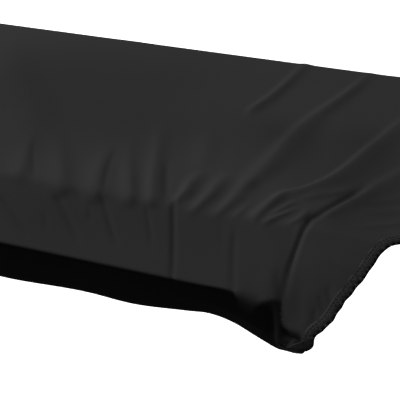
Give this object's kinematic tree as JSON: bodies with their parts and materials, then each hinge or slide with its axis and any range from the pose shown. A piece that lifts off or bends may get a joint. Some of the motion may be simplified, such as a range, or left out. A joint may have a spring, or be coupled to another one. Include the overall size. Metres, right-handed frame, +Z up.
{
  "type": "piano cover",
  "caption": "Fitted one-piece stretch cover with an elastic hem, hollow below, with one front corner pulled back in folds.",
  "frame": {"origin": "middle of the inner face of the flat top, where the covered body holds the cover up", "axes": "+X along the cover to the pulled-back end, +Y to the back, +Z up"},
  "size_m": [1.3219, 0.3925, 0.1668],
  "materials": {
    "cover": "matt black stretch knit with a faint sheen"
  },
  "bodies": {
    "root": {"cover": "cover"}
  },
  "joints": []
}
